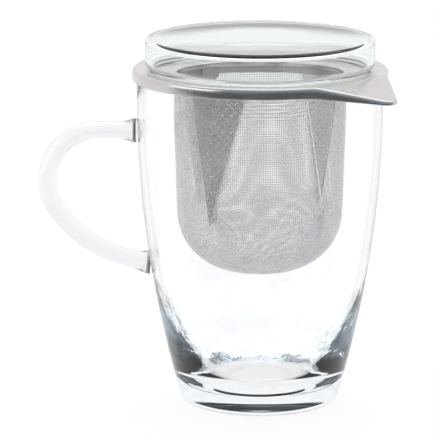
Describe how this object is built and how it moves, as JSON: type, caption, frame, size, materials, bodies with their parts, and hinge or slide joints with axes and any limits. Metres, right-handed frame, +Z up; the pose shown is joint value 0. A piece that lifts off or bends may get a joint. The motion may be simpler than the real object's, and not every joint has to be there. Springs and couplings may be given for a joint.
{
  "type": "lidded tea mug with infuser",
  "caption": "Tapered glass tea mug with a glass rod handle, a hanging wire mesh infuser with a thumb tab on its steel rim, and a loose glass dish as its lid.",
  "frame": {"origin": "centre of the mug's foot, on the surface that it stands on", "axes": "+Z up along the mug's axis, -X towards the handle, the infuser's thumb tab towards the front right between +X and -Y"},
  "size_m": [0.1242, 0.0892, 0.1297],
  "materials": {
    "mug_glass": "polished clear glass",
    "handle_glass": "polished clear glass rod",
    "rim_steel": "fine brushed stainless steel",
    "strip_steel": "rolled stainless strip",
    "wire_mesh": "woven stainless wire",
    "lid_glass": "polished glass with a faint green cast"
  },
  "bodies": {
    "mug": {"mug_body": "mug_glass", "mug_handle": "handle_glass"},
    "infuser": {"rim_plate": "rim_steel", "mesh_ring": "strip_steel", "mesh_basket": "wire_mesh"},
    "lid": {"lid_dish": "lid_glass"}
  },
  "joints": [
    {"name": "infuser_lift", "type": "slide", "parent": "mug", "child": "infuser", "axis": [0, 0, 1], "range_m": [0, 0.1]},
    {"name": "lid_lift", "type": "slide", "parent": "infuser", "child": "lid", "axis": [0, 0, 1], "range_m": [0, 0.05]}
  ]
}
